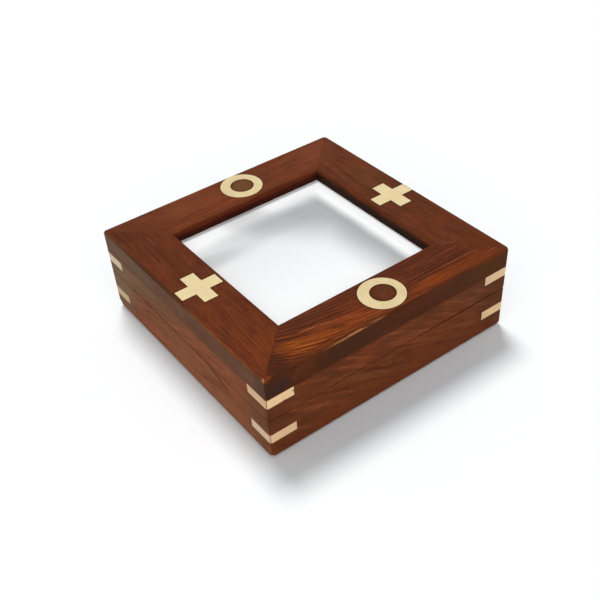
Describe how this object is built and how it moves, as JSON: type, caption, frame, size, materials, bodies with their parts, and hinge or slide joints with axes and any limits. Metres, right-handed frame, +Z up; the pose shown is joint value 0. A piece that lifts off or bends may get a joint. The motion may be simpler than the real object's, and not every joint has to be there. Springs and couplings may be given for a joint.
{
  "type": "tic-tac-toe box",
  "caption": "Square hinged hardwood game box: mitred lid frame inlaid with brass crosses and rings around a white panel, over a brass-gridded board with loose brass pieces.",
  "frame": {"origin": "middle of the underside, in the plane that the box stands on", "axes": "+Z up through the lid, -Y towards the front that opens, +X to the right along the hinge"},
  "size_m": [0.152, 0.156, 0.051],
  "materials": {
    "case_wood": "satin oiled",
    "rail_wood": "satin lacquered",
    "lining_wood": "sanded, matt",
    "board_wood": "satin oiled",
    "white_glass": "polished, opaque white",
    "inlay_brass": "pale, sanded flush",
    "piece_brass": "satin brushed",
    "hinge_brass": "plain drawn",
    "screw_brass": "turned"
  },
  "bodies": {
    "base": {"base_wall_front": "case_wood", "base_wall_right": "case_wood", "base_wall_back": "case_wood", "base_wall_left": "case_wood", "base_key_front_left": "inlay_brass", "base_key_front_right": "inlay_brass", "base_key_back_right": "inlay_brass", "base_key_back_left": "inlay_brass", "bottom_board": "lining_wood", "playing_board": "board_wood", "grid_strip_front": "piece_brass", "grid_strip_right": "piece_brass", "grid_strip_back": "piece_brass", "grid_strip_left": "piece_brass", "hinge_base_leaf_left": "hinge_brass", "hinge_base_leaf_right": "hinge_brass", "hinge_pin_left": "hinge_brass", "hinge_pin_right": "hinge_brass", "hinge_screws_base": "screw_brass"},
    "lid": {"lid_rim_front": "case_wood", "lid_rim_right": "case_wood", "lid_rim_back": "case_wood", "lid_rim_left": "case_wood", "top_rail_front": "rail_wood", "top_rail_right": "rail_wood", "top_rail_back": "rail_wood", "top_rail_left": "rail_wood", "lid_key_front_left": "inlay_brass", "lid_key_front_right": "inlay_brass", "lid_key_back_right": "inlay_brass", "lid_key_back_left": "inlay_brass", "inlay_ring_front": "inlay_brass", "inlay_ring_back": "inlay_brass", "inlay_cross_left": "inlay_brass", "inlay_cross_right": "inlay_brass", "white_panel": "white_glass", "lid_lining": "lining_wood", "hinge_lid_leaf_left": "hinge_brass", "hinge_lid_leaf_right": "hinge_brass", "hinge_screws_lid": "screw_brass"},
    "cross_piece_1": {"cross_piece_1": "piece_brass"},
    "cross_piece_2": {"cross_piece_2": "piece_brass"},
    "cross_piece_3": {"cross_piece_3": "piece_brass"},
    "cross_piece_4": {"cross_piece_4": "piece_brass"},
    "cross_piece_5": {"cross_piece_5": "piece_brass"},
    "ring_piece_1": {"ring_piece_1": "piece_brass"},
    "ring_piece_2": {"ring_piece_2": "piece_brass"},
    "ring_piece_3": {"ring_piece_3": "piece_brass"},
    "ring_piece_4": {"ring_piece_4": "piece_brass"}
  },
  "joints": [
    {"name": "lid_hinge", "type": "hinge", "parent": "base", "child": "lid", "pos_m": [0, 0.0781, 0.0255], "axis": [-1, 0, 0], "range_deg": [0, 180]},
    {"name": "cross_piece_1_lift", "type": "slide", "parent": "base", "child": "cross_piece_1", "axis": [0, 0, 1], "range_m": [0, 0.02]},
    {"name": "cross_piece_2_lift", "type": "slide", "parent": "base", "child": "cross_piece_2", "axis": [0, 0, 1], "range_m": [0, 0.02]},
    {"name": "cross_piece_3_lift", "type": "slide", "parent": "base", "child": "cross_piece_3", "axis": [0, 0, 1], "range_m": [0, 0.02]},
    {"name": "cross_piece_4_lift", "type": "slide", "parent": "base", "child": "cross_piece_4", "axis": [0, 0, 1], "range_m": [0, 0.02]},
    {"name": "cross_piece_5_lift", "type": "slide", "parent": "base", "child": "cross_piece_5", "axis": [0, 0, 1], "range_m": [0, 0.02]},
    {"name": "ring_piece_1_lift", "type": "slide", "parent": "base", "child": "ring_piece_1", "axis": [0, 0, 1], "range_m": [0, 0.02]},
    {"name": "ring_piece_2_lift", "type": "slide", "parent": "base", "child": "ring_piece_2", "axis": [0, 0, 1], "range_m": [0, 0.02]},
    {"name": "ring_piece_3_lift", "type": "slide", "parent": "base", "child": "ring_piece_3", "axis": [0, 0, 1], "range_m": [0, 0.02]},
    {"name": "ring_piece_4_lift", "type": "slide", "parent": "base", "child": "ring_piece_4", "axis": [0, 0, 1], "range_m": [0, 0.02]}
  ]
}
